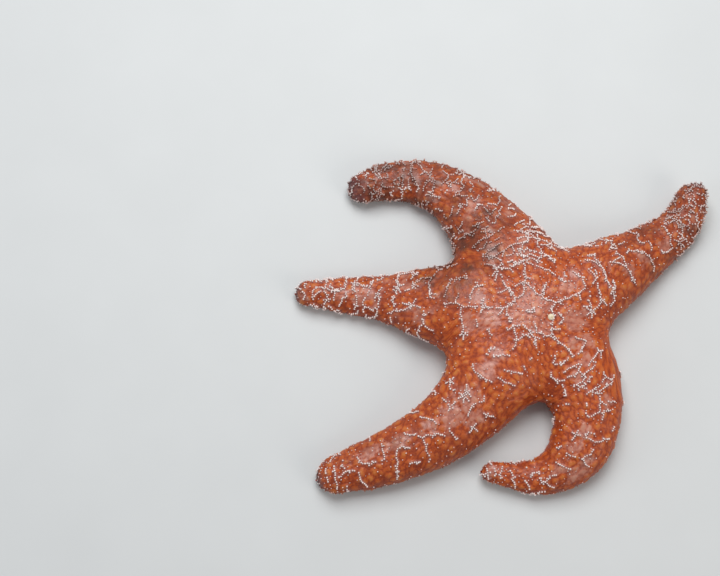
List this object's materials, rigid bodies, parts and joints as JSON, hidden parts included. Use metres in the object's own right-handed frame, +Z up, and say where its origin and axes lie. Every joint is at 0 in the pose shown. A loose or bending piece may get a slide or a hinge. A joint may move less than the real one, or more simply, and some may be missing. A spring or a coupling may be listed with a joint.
{
  "type": "ochre sea star",
  "caption": "Life-size ochre sea star, a starfish with a domed disc and tapered, curling arms, lying flat on its sole; still model.",
  "frame": {"origin": "On the surface the sea star lies on, under the middle of its outline's box.", "axes": "+Z is up, out of the back of the animal. +X runs along the longest extent, towards the side of the arm with the upturned tip. +Y completes the right-handed frame and points away from the usual viewer."},
  "size_m": [0.2433, 0.1993, 0.0342],
  "materials": {
    "skin": "wet orange skin with pale beadlike spines",
    "sieve_plate": "cream, finely furrowed",
    "mouth_skin": "soft and pale",
    "eyespot": "small red cushion"
  },
  "bodies": {
    "root": {"disc": "skin", "arm_upper_right_base": "skin", "arm_upper_right_middle": "skin", "arm_upper_right_tip": "skin", "arm_upper_left_base": "skin", "arm_upper_left_middle": "skin", "arm_upper_left_tip": "skin", "arm_left_base": "skin", "arm_left_middle": "skin", "arm_left_tip": "skin", "arm_lower_left_base": "skin", "arm_lower_left_middle": "skin", "arm_lower_left_tip": "skin", "arm_lower_right_base": "skin", "arm_lower_right_middle": "skin", "arm_lower_right_tip": "skin", "madreporite": "sieve_plate", "mouth": "mouth_skin", "eyespot_upper_right": "eyespot", "eyespot_upper_left": "eyespot", "eyespot_left": "eyespot", "eyespot_lower_left": "eyespot", "eyespot_lower_right": "eyespot"}
  },
  "joints": []
}
